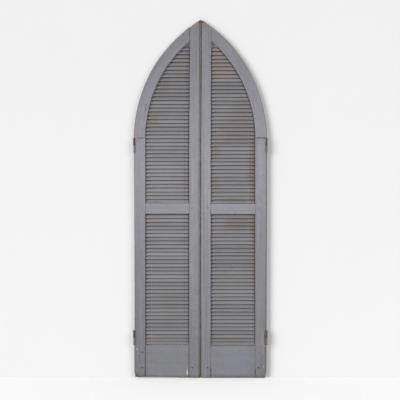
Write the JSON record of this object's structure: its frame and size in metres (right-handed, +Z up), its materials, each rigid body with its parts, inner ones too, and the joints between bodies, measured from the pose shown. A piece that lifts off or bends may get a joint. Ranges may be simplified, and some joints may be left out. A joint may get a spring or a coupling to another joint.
{
  "type": "pair of arched louvered doors",
  "caption": "Pair of narrow painted wooden doors under a pointed arch, with fixed louver slats above and below a lock rail, swinging on lift-off iron hinges.",
  "frame": {"origin": "on the floor line, under the middle of the closed pair, at mid thickness of the leaves", "axes": "+X to the viewer's right across the pair, -Y towards the viewer out of the front face, +Z up"},
  "size_m": [0.8994, 0.0487, 2.4],
  "materials": {
    "grey_paint": "old blue-grey oil paint on softwood, matt, worn to brown wood at edges",
    "slat_paint": "the same paint on the slats, duller and dirtier, with brown stains",
    "peg_wood": "dark end grain under thin paint",
    "bare_wood": "unpainted softwood",
    "rusted_iron": "dark rusted iron",
    "painted_iron": "iron under grey paint like that of the leaves, worn"
  },
  "bodies": {
    "jamb_hinges": {"left_upper_hinge_frame_half": "painted_iron", "left_upper_hinge_pin": "rusted_iron", "left_lower_hinge_frame_half": "painted_iron", "left_lower_hinge_pin": "rusted_iron", "right_upper_hinge_frame_half": "painted_iron", "right_upper_hinge_pin": "rusted_iron", "right_lower_hinge_frame_half": "painted_iron", "right_lower_hinge_pin": "rusted_iron"},
    "left_leaf": {"left_hanging_stile": "grey_paint", "left_arch_stile": "grey_paint", "left_meeting_stile": "grey_paint", "left_lock_rail": "grey_paint", "left_bottom_rail": "grey_paint", "left_upper_louvers": "slat_paint", "left_lower_louvers": "slat_paint", "left_spring_tongue": "bare_wood", "left_apex_tongue": "bare_wood", "left_hanging_bottom_rail_peg_low": "peg_wood", "left_hanging_bottom_rail_peg_high": "peg_wood", "left_hanging_lock_rail_peg": "peg_wood", "left_meeting_bottom_rail_peg_low": "peg_wood", "left_meeting_bottom_rail_peg_high": "peg_wood", "left_meeting_lock_rail_peg": "peg_wood", "left_upper_hinge_door_half": "rusted_iron", "left_upper_hinge_screw_1": "rusted_iron", "left_upper_hinge_screw_2": "rusted_iron", "left_upper_hinge_screw_3": "rusted_iron", "left_lower_hinge_door_half": "rusted_iron", "left_lower_hinge_screw_1": "rusted_iron", "left_lower_hinge_screw_2": "rusted_iron", "left_lower_hinge_screw_3": "rusted_iron"},
    "right_leaf": {"right_hanging_stile": "grey_paint", "right_arch_stile": "grey_paint", "right_meeting_stile": "grey_paint", "right_lock_rail": "grey_paint", "right_bottom_rail": "grey_paint", "right_upper_louvers": "slat_paint", "right_lower_louvers": "slat_paint", "right_spring_tongue": "bare_wood", "right_apex_tongue": "bare_wood", "right_hanging_bottom_rail_peg_low": "peg_wood", "right_hanging_bottom_rail_peg_high": "peg_wood", "right_hanging_lock_rail_peg": "peg_wood", "right_meeting_bottom_rail_peg_low": "peg_wood", "right_meeting_bottom_rail_peg_high": "peg_wood", "right_meeting_lock_rail_peg": "peg_wood", "right_upper_hinge_door_half": "rusted_iron", "right_upper_hinge_screw_1": "rusted_iron", "right_upper_hinge_screw_2": "rusted_iron", "right_upper_hinge_screw_3": "rusted_iron", "right_lower_hinge_door_half": "rusted_iron", "right_lower_hinge_screw_1": "rusted_iron", "right_lower_hinge_screw_2": "rusted_iron", "right_lower_hinge_screw_3": "rusted_iron"}
  },
  "joints": [
    {"name": "left_leaf_swing", "type": "hinge", "parent": "jamb_hinges", "child": "left_leaf", "pos_m": [-0.4445, -0.0245, 0], "axis": [0, 0, -1], "range_deg": [0, 180]},
    {"name": "right_leaf_swing", "type": "hinge", "parent": "jamb_hinges", "child": "right_leaf", "pos_m": [0.4445, -0.0245, 0], "axis": [0, 0, 1], "range_deg": [0, 180]}
  ]
}
